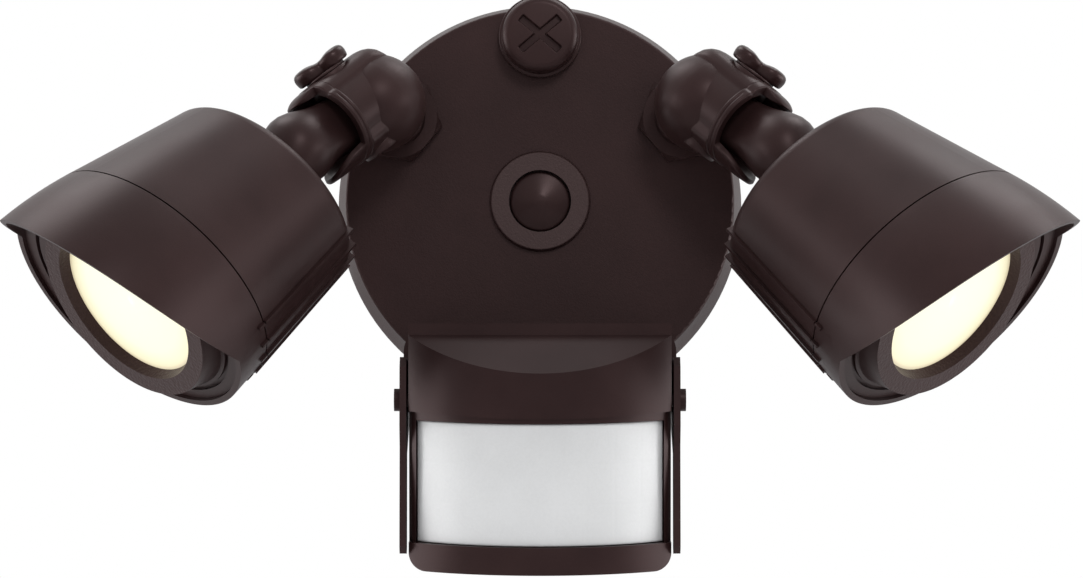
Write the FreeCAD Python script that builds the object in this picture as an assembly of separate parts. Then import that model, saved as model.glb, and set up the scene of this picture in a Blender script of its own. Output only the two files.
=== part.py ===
import FreeCAD, Part
import os
from math import sin, cos, tan, atan, radians, pi, sqrt

os.makedirs("parts", exist_ok=True)

# Two lamp security light with a motion sensor, for a wall box. Millimetres.
# The wall is the plane y = 0, the front faces -Y, up is +Z, and the origin is
# the centre of the canopy's wall side.

V = FreeCAD.Vector
sides = {"right": 1, "left": -1}
running_gap = 0.05      # radial play of a pin or shaft in its bore
fit_gap = 0.3           # play between pieces that move past each other
seat_clearance = 0.02   # between flat faces that rest on each other
cut_over = 1.0          # how far a cutting solid runs past what it cuts

# canopy
canopy_radius = 63.5
canopy_face_radius = 60.5
canopy_depth = 15.0
canopy_wall = 2.4
wall_gasket_thickness = 1.5
wall_gasket_width = 4.0
wall_gasket_inset = 0.8
face_edge_radius = 0.8

# holes in the canopy's face
hole_circle_radius = 51.5
hole_thread_radius = 8.0
hole_boss_radius = 11.0
hole_boss_height = 4.0
arm_hole_angle = 30.0

# centre boss, its screw and cap
boss_radius = 15.2
boss_height = 2.0
boss_well_radius = 9.7
boss_well_depth = 4.0
centre_screw_radius = 2.4
centre_screw_head_radius = 4.6
centre_screw_head_height = 2.6
cap_radius = 9.3
cap_side_height = 2.4
cap_cone_height = 2.6
cap_wall = 1.2

# mounting bar in the canopy
bar_length = 100.0
bar_width = 20.0
bar_thickness = 1.6
bar_slot_centre = 39.7
bar_slot_length = 15.0
bar_slot_radius = 2.3
bar_collar_radius = 5.0
bar_collar_height = 3.0
ground_screw_x = 20.0
ground_screw_radius = 1.9
ground_screw_head_radius = 3.8
ground_screw_head_height = 2.2

# closure plug in the top hole
plug_washer_radius = 12.4
plug_washer_thickness = 1.0
plug_flange_radius = 12.9
plug_flange_thickness = 1.8
plug_head_radius = 11.8
plug_head_height = 7.2
plug_head_rounding = 2.4
plug_shank_length = 8.0
plug_slot_length = 15.5
plug_slot_width = 2.2
plug_slot_depth = 1.6
plug_slot_angle = 40.0

# arm: stem in the canopy, ball, clamp cup with two cheeks
ball_centre = V(49.0, -38.0, 28.0)
arm_yaw = 50.8          # from straight ahead towards the side
arm_pitch = 35.8        # down from level
arm_roll = 14.5         # of the clamp screw, from upright
ball_radius = 15.0
arm_washer_radius = 12.2
arm_washer_thickness = 1.2
locknut_flat_radius = 12.4
locknut_height = 3.6
stem_length = 9.0       # behind the canopy's face
stem_bore_radius = 4.5
neck_radius = 9.0
cup_offset = 3.0        # of the cup's axis from the ball's centre
cup_radius = 13.7
cup_wall = 1.8
cup_length = 19.3
cup_floor = 1.2
cup_start = -4.0
bead_radius = 0.8
bead_steps = (17.0, 18.7)
cheek_length = 31.0
cheek_half_width = 5.5
pivot_distance = 9.5    # of the clamp screw from the ball's centre
seat_radius = 8.6
pad_radius = 6.0
clamp_screw_radius = 2.5
clamp_nut_flat_radius = 4.0
clamp_nut_height = 3.2
clamp_nut_gap = 0.1
clamp_nut_floor = 8.2   # from the ball's centre to the nut's inner face
clamp_screw_depth = 3.6 # of the screw in the knob
press_gap = 0.02

# lamp arm: hub in the cup, neck, shoulder ball, stub into the lamp
hub_radius = 7.6
hub_half_length = 8.5
lamp_neck_radius = 6.0
shoulder_distance = 32.0
shoulder_radius = 11.5
lamp_axis_offset = 0.8
stub_radius = 7.5
stub_flange_radius = 10.5
stub_flange_height = 2.0
stub_thread_length = 9.0
stub_bore_radius = 3.2
stub_nut_flat_radius = 11.0
stub_nut_height = 3.5

# wing knob on the clamp screw
knob_length = 18.4
knob_lobe_radius = 4.3
knob_waist_radius = 3.2
knob_waist_drop = 1.1    # of the waist, below the lobes' tops
knob_turn = 34.6         # of the lobes about the clamp screw, from the arm's line
knob_height = 4.6
knob_rounding = 1.6
knob_base_radius = 6.9
knob_base_height = 1.0

# lamp head
head_distance = 99.0    # from the ball's centre to the seam
head_radius = 39.6      # at the seam
head_taper = 0.14       # growth of the radius per length
head_length = 47.0      # from the seam back
head_slant = 0.15       # of the seam, the rear and the rim
head_roll = 9.0         # of the hood's top, from upright
head_wall = 2.2
rear_wall = 2.6
rear_rounding = 4.0
rib_count = 13
rib_pitch = 11.5
rib_width = 1.1
rib_height = 0.9
rib_root = 0.4          # of the ribs into the ring's wall
rib_margin = 0.4
rib_on_ring = 3.0
seam_gap = 0.5
rim_distance = 13.4
hood_wall = 1.9
visor_roll = 24.9       # of the visor's top, from the head's top toward the middle
hood_low = (-13.0, 1.8)
hood_mid = (16.0, 23.4)
hood_tip = (43.0, 39.0)
flare_points = ((6.0, 40.44), (26.0, 41.62), (46.0, 40.12))    # hood's bulge: along the axis, radius
spigot_length = 4.0
spigot_wall = 1.5
spigot_gap = 0.1

# bezel, lens and light engine
bezel_ring_distance = 15.7
bezel_ring_radius = 31.2
bezel_opening_radius = 24.6
bezel_back_distance = 3.0
bezel_flange_drop = 1.2
bezel_groove_radius = 34.0
lens_distance = 12.2
lens_thickness = 2.0
lens_lip = 2.2
lens_gap = 0.15
lens_gasket_thickness = 1.0
reflector_length = 9.0
reflector_back_radius = 14.0
reflector_wall = 1.0
board_radius = 27.0
board_thickness = 1.6
chip_circle_radius = 7.5
chip_count = 6
chip_size = 3.5
chip_height = 0.9
sink_radius = 31.0
sink_thickness = 3.0
sink_fin_length = 12.0
sink_fin_count = 7
sink_fin_pitch = 7.0
sink_fin_width = 1.6
engine_screw_circle = 24.0
engine_screw_radius = 1.4
engine_screw_head_radius = 2.6
engine_screw_head_height = 1.6

# sensor: stem, yoke and head
sensor_tilt = 7.0
sensor_pivot = V(0.0, -52.0, -63.7)
yoke_plate_front = -22.6
yoke_thickness = 2.0
yoke_side_gap = 0.7      # between the sensor's side and the cheek
yoke_plate_top = -38.5
yoke_plate_bottom = -66.0
yoke_plate_rounding = 9.0
cheek_top = -51.0
cheek_bottom = -110.0
cheek_front = -60.0
cheek_tail_back = -47.0
cheek_tail_front = -57.0
sensor_width = 79.0
sensor_bow = 16.0
sensor_side_front = 8.0
sensor_back = 20.0
sensor_back_low = 8.0
sensor_top = 23.6
sensor_top_fall = 2.2    # of the top, from the brow to the back
sensor_brow = 20.1
sensor_slope_drop = 10.5
sensor_hood_edge = -2.1
sensor_hood_dip = 1.9     # of the hood's lower edge, at its middle
sensor_lens_top = -5.5
sensor_lens_bottom = -42.3
sensor_bottom = -50.6
sensor_split = 0.0      # where the front half meets the rear half
sensor_wall = 2.2
sensor_corner_radius = 5.2
sensor_hood_proud = 1.0
sensor_post_width = 1.3
sensor_lens_inset = 0.8
sensor_lens_thickness = 1.2
sensor_lens_gap = 0.15
pivot_screw_radius = 2.0
pivot_screw_head_radius = 3.4
pivot_screw_head_height = 1.8
pivot_boss_radius = 5.0
sensor_board_thickness = 1.6
sensor_board_gap = 8.0
pyro_radius = 4.6
pyro_height = 4.2
photocell_radius = 2.5
photocell_height = 3.0
photocell_inset = 11.3   # from the board's end
dial_radius = 5.0
dial_height = 2.2
dial_stem_radius = 1.5
dial_spacing = 22.0

# ---- worked out from the values above ----
face_y = -(wall_gasket_thickness + canopy_depth)
yoke_half_width = sensor_width / 2 + yoke_side_gap + yoke_thickness
rim_y = -wall_gasket_thickness
canopy_inner_y = face_y + canopy_wall
boss_y = face_y - boss_height
arm_angle = radians(arm_hole_angle)
arm_hole = V(hole_circle_radius * cos(arm_angle), face_y, hole_circle_radius * sin(arm_angle))
plug_hole = V(0, face_y, hole_circle_radius)
sensor_hole = V(0, face_y, -hole_circle_radius)
yaw = radians(arm_yaw)
pitch = radians(arm_pitch)
along_arm = V(sin(yaw) * cos(pitch), -cos(yaw) * cos(pitch), -sin(pitch))


def unit(v):
    return V(v).normalize()


up_from_arm = unit(V(0, 0, 1) - along_arm * along_arm.z)
out_from_arm = up_from_arm.cross(along_arm)


def frame(origin, x_axis, z_axis):
    """Placement whose own X and Z axes are the two directions given."""
    y_axis = z_axis.cross(x_axis)
    m = FreeCAD.Matrix(x_axis.x, y_axis.x, z_axis.x, origin.x,
                       x_axis.y, y_axis.y, z_axis.y, origin.y,
                       x_axis.z, y_axis.z, z_axis.z, origin.z,
                       0, 0, 0, 1)
    return FreeCAD.Placement(m)


def turned_up(angle):
    """The arm's up direction turned about the arm by an angle in degrees."""
    a = radians(angle)
    return up_from_arm * cos(a) + out_from_arm * sin(a)


arm_frame = frame(ball_centre, turned_up(arm_roll), along_arm)
knob_axis = turned_up(arm_roll)
head_centre = ball_centre + knob_axis * lamp_axis_offset + along_arm * head_distance
head_frame = frame(head_centre, turned_up(-head_roll), along_arm)
tilt = radians(sensor_tilt)
sensor_up = V(0, -sin(tilt), cos(tilt))
sensor_frame = frame(sensor_pivot, V(1, 0, 0), sensor_up)    # own X right, Y back, Z up


def placed(shape, where):
    out = shape.copy()
    out.Placement = where.multiply(out.Placement)
    return out


def cylinder(radius, height, base, axis=V(0, 0, 1)):
    return Part.makeCylinder(radius, height, base, axis)


def box(x0, x1, y0, y1, z0, z1):
    return Part.makeBox(x1 - x0, y1 - y0, z1 - z0, V(x0, y0, z0))


def prism(points, direction):
    """Solid from a closed list of points, pushed along a direction."""
    wire = Part.makePolygon(points + [points[0]])
    return Part.Face(wire).extrude(direction)


def turned(points, axis=V(0, 0, 1), centre=V(0, 0, 0)):
    """Solid of revolution of a closed profile of points."""
    wire = Part.makePolygon(points + [points[0]])
    return Part.Face(wire).revolve(centre, axis, 360)


def hexagon(flat_radius, height, base, axis, ref):
    """Six sided prism, flat_radius from its axis to a flat."""
    other = axis.cross(ref)
    corner = flat_radius / cos(pi / 6)
    points = []
    for i in range(6):
        a = i * pi / 3
        points.append(base + ref * (corner * cos(a)) + other * (corner * sin(a)))
    return prism(points, axis * height)


def fused(shapes):
    whole = shapes[0]
    for other in shapes[1:]:
        whole = whole.fuse(other)
    return whole.removeSplitter()


def rounded(shape, radius, chosen):
    """Fillet the edges for which chosen(edge) is true."""
    edges = [e for e in shape.Edges if chosen(e)]
    return shape.makeFillet(radius, edges)


front = V(0, -1, 0)


# ---------------- canopy and its mounting ----------------
def canopy_cover():
    draft = (canopy_radius - canopy_face_radius) / canopy_depth
    outer = Part.makeCone(canopy_radius, canopy_face_radius, canopy_depth, V(0, rim_y, 0), front)
    outer = rounded(outer, face_edge_radius,
                    lambda e: abs(e.BoundBox.YMin - face_y) < 0.01 and e.BoundBox.YLength < 0.01)
    inner_depth = canopy_depth - canopy_wall
    inner = Part.makeCone(canopy_radius - canopy_wall + draft * cut_over,
                          canopy_radius - canopy_wall - draft * inner_depth,
                          inner_depth + cut_over, V(0, rim_y + cut_over, 0), front)
    cover = outer.cut(inner)
    boss = Part.makeCone(boss_radius + 0.6, boss_radius, boss_height, V(0, face_y, 0), front)
    cover = cover.fuse(boss)
    well_y = boss_y + boss_well_depth
    back_pad = cylinder(boss_well_radius + canopy_wall, boss_well_depth,
                        V(0, canopy_inner_y + boss_well_depth - 0.5, 0), front)
    cover = cover.fuse(back_pad)
    for hole in holes():
        pad_foot = V(hole.x, canopy_inner_y + hole_boss_height, hole.z)
        pad = cylinder(hole_boss_radius, hole_boss_height, pad_foot, front)
        cover = cover.fuse(pad.common(outer))
    cover = cover.cut(cylinder(boss_well_radius, boss_well_depth + cut_over,
                               V(0, well_y, 0), front))
    cover = cover.cut(cylinder(centre_screw_radius + fit_gap, 3 * canopy_depth, V(0, rim_y, 0), front))
    for hole in holes():
        cover = cover.cut(cylinder(hole_thread_radius + running_gap, 3 * canopy_depth,
                                   V(hole.x, rim_y, hole.z), front))
    return cover.removeSplitter()


def holes():
    return [arm_hole, V(-arm_hole.x, arm_hole.y, arm_hole.z), plug_hole, sensor_hole]


def wall_gasket():
    outer = canopy_radius - wall_gasket_inset
    ring = cylinder(outer, wall_gasket_thickness, V(0, 0, 0), front)
    return ring.cut(cylinder(outer - wall_gasket_width, 3, V(0, 1, 0), front))


def mounting_bar():
    half = bar_length / 2
    bar = box(-half, half, -bar_thickness, 0, -bar_width / 2, bar_width / 2)
    bar = rounded(bar, 5.0, lambda e: e.BoundBox.YLength > bar_thickness * 0.9
                  and e.BoundBox.XLength < 0.01 and e.BoundBox.ZLength < 0.01)
    bar = bar.fuse(cylinder(bar_collar_radius, bar_collar_height, V(0, -bar_thickness, 0), front))
    run = bar_slot_length / 2 - bar_slot_radius
    for x in (-bar_slot_centre, bar_slot_centre):
        slot = box(x - run, x + run, -bar_thickness - cut_over, cut_over, -bar_slot_radius, bar_slot_radius)
        for end in (x - run, x + run):
            slot_end = cylinder(bar_slot_radius, bar_thickness + 2 * cut_over, V(end, cut_over, 0), front)
            slot = slot.fuse(slot_end)
        bar = bar.cut(slot)
    bar = bar.cut(cylinder(centre_screw_radius + running_gap, 20, V(0, cut_over, 0), front))
    bar = bar.cut(cylinder(ground_screw_radius + running_gap, 20, V(ground_screw_x, cut_over, 0), front))
    return bar.removeSplitter()


def centre_screw():
    head_y = boss_y + boss_well_depth
    head = cylinder(centre_screw_head_radius, centre_screw_head_height, V(0, head_y, 0), front)
    head = rounded(head, 1.0, lambda e: e.BoundBox.YMax < head_y - centre_screw_head_height + 0.01)
    shank = cylinder(centre_screw_radius, -head_y, V(0, 0, 0), front)
    slot_y = head_y - centre_screw_head_height
    slot = box(-3.2, 3.2, slot_y - cut_over, slot_y + 1.1, -0.6, 0.6)
    return head.fuse(shank).cut(slot).removeSplitter()


def centre_cap():
    floor_y = boss_y + boss_well_depth
    cone_base = cap_side_height
    r = cap_radius
    w = cap_wall
    outside = [V(0, 0, 0), V(r, 0, 0), V(r, -cone_base, 0), V(1.6, -cone_base - cap_cone_height, 0),
               V(0, -cone_base - cap_cone_height - 0.15, 0)]
    hollow = [V(0, 1, 0), V(r - w, 1, 0), V(r - w, -cone_base, 0), V(0, -cone_base - cap_cone_height + w, 0)]
    cap = turned(outside, V(0, 1, 0)).cut(turned(hollow, V(0, 1, 0)))
    cap.translate(V(0, floor_y, 0))
    return cap


def ground_screw():
    head = cylinder(ground_screw_head_radius, ground_screw_head_height,
                    V(ground_screw_x, -bar_thickness, 0), front)
    shank = cylinder(ground_screw_radius, bar_thickness - 0.1, V(ground_screw_x, -0.1, 0), front)
    y = -bar_thickness - ground_screw_head_height
    slot = box(ground_screw_x - 3, ground_screw_x + 3, y - cut_over, y + 0.9, -0.5, 0.5)
    return head.fuse(shank).cut(slot).removeSplitter()


# ---------------- closure plug ----------------
def plug_washer():
    ring = cylinder(plug_washer_radius, plug_washer_thickness, plug_hole, front)
    return ring.cut(cylinder(hole_thread_radius + running_gap, 20, plug_hole + V(0, 10, 0), front))


def closure_plug():
    base = plug_hole + V(0, -plug_washer_thickness, 0)
    flange = cylinder(plug_flange_radius, plug_flange_thickness, base, front)
    head = cylinder(plug_head_radius, plug_head_height, base + V(0, -plug_flange_thickness, 0), front)
    face = base.y - plug_flange_thickness - plug_head_height
    head = rounded(head, plug_head_rounding, lambda e: e.BoundBox.YMax < face + 0.01)
    shank = cylinder(hole_thread_radius, plug_shank_length + plug_washer_thickness,
                     plug_hole + V(0, plug_shank_length, 0), front)
    shank = shank.cut(cylinder(hole_thread_radius - 2, plug_shank_length,
                               plug_hole + V(0, plug_shank_length + cut_over, 0), front))
    plug = fused([flange, head, shank])
    for turn in (plug_slot_angle, -plug_slot_angle):
        half = plug_slot_length / 2
        slot = box(-half, half, face - cut_over, face + plug_slot_depth,
                   -plug_slot_width / 2, plug_slot_width / 2)
        slot.rotate(V(0, 0, 0), V(0, 1, 0), turn)
        slot.translate(V(plug_hole.x, 0, plug_hole.z))
        plug = plug.cut(slot)
    return plug


# ---------------- arm, in its own frame: X clamp screw, Z along the arm ----------------
def arm_washer():
    ring = cylinder(arm_washer_radius, arm_washer_thickness, arm_hole, front)
    return ring.cut(cylinder(hole_thread_radius + running_gap, 20, arm_hole + V(0, 10, 0), front))


def locknut(hole, stand, height):
    """Hexagon nut on a stem, its back face at a stand off from the canopy's face."""
    base = hole + V(0, -stand, 0)
    nut = hexagon(locknut_flat_radius, height, base, front, V(cos(radians(10)), 0, sin(radians(10))))
    chamfer = Part.makeCone(locknut_flat_radius / cos(pi / 6) + 0.6, locknut_flat_radius - 0.4,
                            height + 0.8, base, front)
    nut = nut.common(chamfer)
    return nut.cut(cylinder(hole_thread_radius + running_gap, 20, base + V(0, 5, 0), front))


def cup_profile():
    """Half section of the cup's outside with its two beads."""
    r = cup_radius - 0.35
    points = [V(0, 0, cup_start), V(r, 0, cup_start)]
    for z in bead_steps:
        for i in range(0, 7):
            a = -pi / 2 + i * pi / 6
            points.append(V(r + bead_radius * cos(a), 0, z + bead_radius * sin(a)))
    points.append(V(r, 0, cup_length))
    points.append(V(0, 0, cup_length))
    return points


def cheeks():
    """The two tongues of the cup's wall that run on beside the shoulder ball."""
    tube = cylinder(cup_radius, cheek_length - cup_length + 2, V(cup_offset, 0, cup_length - 2))
    half = cheek_half_width
    end = cheek_length - half
    strip = box(-40, 40, -half, half, 0, end)
    strip = strip.fuse(cylinder(half, 80, V(-40, 0, end), V(1, 0, 0)))
    return tube.common(strip)


def elbow():
    neck_front = arm_washer_thickness + locknut_height + 0.2
    stem = cylinder(hole_thread_radius, stem_length + neck_front, arm_hole + V(0, stem_length, 0), front)
    start = arm_hole + V(0, -neck_front, 0)
    low = Part.Wire(Part.Circle(start, front, hole_thread_radius + 0.9).toShape())
    high = Part.Wire(Part.Circle(V(ball_centre.x, ball_centre.y + 9.5, ball_centre.z), front,
                                 neck_radius + 1.6).toShape())
    neck = Part.makeLoft([low, high], True, True)
    ball = Part.makeSphere(ball_radius, ball_centre)
    cup = turned(cup_profile())
    cup.translate(V(cup_offset, 0, 0))
    seat = cylinder(seat_radius, 6.0, V(cup_offset + cup_radius - 6.0, 0, pivot_distance), V(1, 0, 0))
    cup = cup.fuse(seat).fuse(cheeks())
    body = fused([stem, neck, ball, placed(cup, arm_frame)])
    inside = cup_radius - cup_wall
    cavity = cylinder(inside, cheek_length, V(cup_offset, 0, cup_floor))
    pad_face = hub_half_length + running_gap
    for sign in (1, -1):
        start_x = cup_offset + sign * pad_face
        cavity = cavity.cut(cylinder(pad_radius, inside, V(start_x, 0, pivot_distance), V(sign, 0, 0)))
    cheek_reach = shoulder_radius + fit_gap
    between = box(cup_offset - cheek_reach, cup_offset + cheek_reach, -cup_radius, cup_radius,
                  cup_length, cheek_length + cut_over)
    cutters = [cavity, between, cylinder(stem_bore_radius - 1, cup_floor + 6, V(cup_offset, 0, -4)),
               cylinder(clamp_screw_radius + running_gap, 60, V(-30, 0, pivot_distance), V(1, 0, 0)),
               hexagon(clamp_nut_flat_radius + clamp_nut_gap, 20, V(-clamp_nut_floor, 0, pivot_distance),
                       V(-1, 0, 0), V(0, 0, 1))]
    for cutter in cutters:
        body = body.cut(placed(cutter, arm_frame))
    bore_length = arm_hole.y + stem_length - ball_centre.y
    body = body.cut(cylinder(stem_bore_radius, bore_length + cut_over,
                             arm_hole + V(0, stem_length + cut_over, 0), front))
    return body.removeSplitter()


def clamp_nut():
    nut = hexagon(clamp_nut_flat_radius, clamp_nut_height, V(-clamp_nut_floor, 0, pivot_distance),
                  V(-1, 0, 0), V(0, 0, 1))
    nut = nut.cut(cylinder(clamp_screw_radius + running_gap, 60, V(-30, 0, pivot_distance), V(1, 0, 0)))
    return placed(nut, arm_frame)


def wing_knob():
    """Two lobed hand knob, seated on the cup's flat."""
    seat_x = knob_seat()
    reach = knob_length / 2 - knob_lobe_radius
    top = seat_x + knob_base_height + knob_height
    z = pivot_distance
    x_axis = V(1, 0, 0)
    lobes = []
    for sign in (1, -1):
        lobes.append(cylinder(knob_lobe_radius, knob_height,
                              V(seat_x + knob_base_height, 0, z + sign * reach), x_axis))
    lobes = [rounded(lobe, knob_rounding, lambda e: e.BoundBox.XMin > top - 0.01) for lobe in lobes]
    waist_height = knob_height - knob_waist_drop
    waist = box(seat_x + knob_base_height, seat_x + knob_base_height + waist_height,
                -knob_waist_radius, knob_waist_radius, z - reach, z + reach)
    hub = cylinder(knob_waist_radius + 1.4, waist_height, V(seat_x + knob_base_height, 0, z), x_axis)
    body = fused(lobes + [waist, hub])
    body.rotate(V(0, 0, z), x_axis, knob_turn)
    base = cylinder(knob_base_radius, knob_base_height, V(seat_x, 0, z), x_axis)
    knob = fused([body, base]).cut(cylinder(clamp_screw_radius + press_gap, clamp_screw_depth + press_gap,
                                            V(seat_x, 0, z), x_axis))
    return placed(knob, arm_frame)


def knob_seat():
    """Distance of the knob's seat from the arm's middle, along the clamp screw."""
    return cup_offset + cup_radius + 0.1


def clamp_screw():
    """Screw pressed into the knob, through the cup and the hub into the nut."""
    foot = -clamp_nut_floor - clamp_nut_height
    shank = cylinder(clamp_screw_radius, knob_seat() + clamp_screw_depth - foot,
                     V(foot, 0, pivot_distance), V(1, 0, 0))
    return placed(shank, arm_frame)


def lamp_arm():
    hub_end = V(cup_offset - hub_half_length, 0, pivot_distance)
    hub = cylinder(hub_radius, 2 * hub_half_length, hub_end, V(1, 0, 0))
    neck = cylinder(lamp_neck_radius, shoulder_distance - pivot_distance, V(cup_offset, 0, pivot_distance))
    ball = Part.makeSphere(shoulder_radius, V(cup_offset, 0, shoulder_distance))
    rear = stub_rear()
    stub = cylinder(stub_radius, rear + stub_thread_length - shoulder_distance,
                    V(lamp_axis_offset, 0, shoulder_distance))
    flange_foot = V(lamp_axis_offset, 0, rear - stub_flange_height)
    flange = cylinder(stub_flange_radius, stub_flange_height, flange_foot)
    arm = fused([hub, neck, ball, stub, flange])
    arm = arm.cut(cylinder(clamp_screw_radius + running_gap, 60, V(-30, 0, pivot_distance), V(1, 0, 0)))
    bore_start = shoulder_distance - 6
    arm = arm.cut(cylinder(stub_bore_radius, 60, V(lamp_axis_offset, 0, bore_start)))
    inlet = cylinder(stub_bore_radius - 0.6, 30, V(cup_offset, 0, bore_start + 1), V(0, sin(0.6), -cos(0.6)))
    arm = arm.cut(inlet)
    return placed(arm.removeSplitter(), arm_frame)


def stub_rear():
    """Distance along the arm at which the lamp arm's flange meets the lamp's rear."""
    return head_distance - head_length - head_slant * stub_flange_radius


# ---------------- lamp head, in its own frame: X hood side, Z forward ----------------
def head_cone(growth, start, end):
    """Solid form of the head's outside, moved out by growth: a cone that bulges past the flare's start."""
    r0 = head_radius + head_taper * start + growth
    flare_start = flare_points[0][0]
    if end <= flare_start:
        return Part.makeCone(r0, head_radius + head_taper * end + growth, end - start, V(0, 0, start))
    a, b, c = [V(r + growth, 0, z) for z, r in flare_points]
    low = V(0, 0, start)
    rim = V(r0, 0, start)
    top = V(0, 0, flare_points[2][0])
    edges = [Part.LineSegment(low, rim).toShape(), Part.LineSegment(rim, a).toShape(),
             Part.Arc(a, b, c).toShape(), Part.LineSegment(c, top).toShape(),
             Part.LineSegment(top, low).toShape()]
    solid = Part.Face(Part.Wire(edges)).revolve(V(0, 0, 0), V(0, 0, 1), 360)
    return solid.common(box(-90, 90, -90, 90, start - 1, end))


def behind(distance, slant=head_slant):
    """Large block whose slanted front face crosses the axis at a distance."""
    size = 140.0
    block = box(-size / 2, size / 2, -size / 2, size / 2, -size, 0)
    block.rotate(V(0, 0, 0), V(0, 1, 0), -atan(slant) * 180 / pi)
    block.translate(V(0, 0, distance))
    return block


def ribs(root, start, end, base_shape):
    """Fins on the underside, from root below the head's outside to the rib height above it."""
    fins = []
    first = -(rib_count - 1) / 2
    low = start - 12
    core = head_cone(-root, low - cut_over, end + cut_over)
    skin = head_cone(rib_height, low, end).cut(core).cut(behind(start))
    for i in range(rib_count):
        slab = box(-60, 0, -rib_width / 2, rib_width / 2, low, end)
        slab.rotate(V(0, 0, 0), V(0, 0, 1), (first + i) * rib_pitch)
        fins.append(skin.common(slab))
    return fused([base_shape] + fins)


def lamp_housing():
    rear_end = head_length + 12
    outer = head_cone(0, -rear_end, 14).common(behind(0)).cut(behind(-head_length))
    outer = rounded(outer, rear_rounding, lambda e: e.BoundBox.ZMax < -head_length / 2 and len(e.Vertexes) < 3
                    and e.Length > 100)
    inner = head_cone(-head_wall, -rear_end, 16).cut(behind(-head_length + rear_wall))
    shell = outer.cut(inner)
    rib_body = ribs(rear_rounding, -head_length + rib_margin, 14, shell)
    shell = rib_body.common(behind(-seam_gap / 2)).cut(inner)
    hole = cylinder(stub_radius + running_gap, 30, V(0, 0, -head_length - 15))
    flat = cylinder(stub_flange_radius + fit_gap, 10, V(0, 0, stub_rear() - head_distance - 10))
    posts = engine_posts()
    return shell.fuse(posts).cut(hole).cut(flat).removeSplitter()


def engine_posts():
    """Three posts in the housing that carry the heat sink plate."""
    back = -head_length - 6.0
    plate_back = engine_back()
    posts = []
    for i in range(3):
        a = radians(60 + 120 * i)
        at = V(engine_screw_circle * cos(a), engine_screw_circle * sin(a), back)
        post = cylinder(3.4, plate_back - back, at)
        posts.append(post.cut(behind(-head_length + rear_wall - 1.0)))
    return Part.makeCompound(posts)


def engine_back():
    """Rear face of the heat sink plate."""
    board_front = lens_distance - lens_thickness - lens_gasket_thickness - reflector_length
    return board_front - board_thickness - sink_thickness


def visor_side(thick):
    """Block with the visor's curved front edge as its side profile."""
    low = V(hood_low[0], 0, hood_low[1])
    mid = V(hood_mid[0], 0, hood_mid[1])
    tip = V(hood_tip[0], 0, hood_tip[1])
    curve = Part.Arc(low, mid, tip).toShape()
    back = V(hood_tip[0] + 20, 0, hood_tip[1])
    under = V(hood_tip[0] + 20, 0, -30)
    corner = V(hood_low[0], 0, -30)
    edges = [curve, Part.LineSegment(tip, back).toShape(), Part.LineSegment(back, under).toShape(),
             Part.LineSegment(under, corner).toShape(), Part.LineSegment(corner, low).toShape()]
    face = Part.Face(Part.Wire(edges))
    face.translate(V(0, -thick / 2, 0))
    block = face.extrude(V(0, thick, 0))
    block.rotate(V(0, 0, 0), V(0, 0, 1), visor_roll)
    return block


def lamp_hood():
    reach = hood_tip[1] + 4
    start = -12.0
    outer = head_cone(0, start, reach)
    inner = head_cone(-hood_wall, start - cut_over, reach + cut_over)
    tube = outer.cut(inner)
    short = tube.common(behind(rim_distance))
    long = tube.common(visor_side(130))
    ring = short.fuse(long).cut(behind(seam_gap / 2))
    finned = ribs(rib_root, start, rib_on_ring + 3, ring).cut(behind(seam_gap / 2))
    limit = behind(rib_on_ring)
    spare = finned.cut(ring).cut(limit)
    hood = finned.cut(spare)
    spigot_outer = head_cone(-head_wall - spigot_gap, start, 3.0)
    spigot_inner = head_cone(-head_wall - spigot_gap - spigot_wall, start - cut_over, 3.0 + cut_over)
    spigot = spigot_outer.cut(spigot_inner).cut(behind(-spigot_length)).common(behind(2.5))
    joining = head_cone(-hood_wall + 0.5, start, 3.0).cut(spigot_inner)
    joining = joining.cut(behind(seam_gap)).common(behind(2.5))
    return fused([hood, spigot, joining])


def lamp_bezel():
    """Textured flange inside the hood with the raised ring that holds the lens."""
    flange_radius = head_radius + head_taper * bezel_back_distance - hood_wall - 0.1
    outer = head_cone(-hood_wall - 0.1, bezel_back_distance - 8, rim_distance + 10)
    flange_front = rim_distance - bezel_flange_drop
    flange = outer.common(behind(flange_front)).cut(behind(flange_front - 3.0))
    ring = Part.makeCone(bezel_groove_radius, bezel_ring_radius, bezel_ring_distance - bezel_back_distance,
                         V(0, 0, bezel_back_distance))
    body = flange.fuse(ring)
    groove_outer = cylinder(bezel_groove_radius + 1.4, 30, V(0, 0, bezel_back_distance + 3))
    groove = groove_outer.cut(cylinder(bezel_groove_radius, 40, V(0, 0, 0))).cut(behind(flange_front - 1.2))
    body = body.cut(groove)
    mouth = Part.makeCone(bezel_opening_radius, bezel_opening_radius + 1.0,
                          bezel_ring_distance - lens_distance + 0.01, V(0, 0, lens_distance))
    body = body.cut(mouth)
    pocket_radius = bezel_opening_radius + lens_lip + lens_gap
    body = body.cut(cylinder(pocket_radius, lens_distance - bezel_back_distance + cut_over,
                             V(0, 0, bezel_back_distance - cut_over)))
    return body.removeSplitter()


def lamp_lens():
    back = lens_distance - lens_thickness
    disc = cylinder(bezel_opening_radius + lens_lip, lens_thickness - 0.05, V(0, 0, back))
    dome_rise = 0.9
    reach = bezel_opening_radius - 0.4
    sphere_radius = (reach * reach + dome_rise * dome_rise) / (2 * dome_rise)
    front_z = lens_distance - 0.05
    dome = Part.makeSphere(sphere_radius, V(0, 0, front_z + dome_rise - sphere_radius))
    dome = dome.common(cylinder(reach + 1, 5, V(0, 0, front_z)))
    return disc.fuse(dome).removeSplitter()


def lens_gasket():
    back = lens_distance - lens_thickness - lens_gasket_thickness
    ring = cylinder(bezel_opening_radius + lens_lip, lens_gasket_thickness - 0.02, V(0, 0, back))
    return ring.cut(cylinder(bezel_opening_radius - 0.6, 5, V(0, 0, back - 1)))


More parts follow.
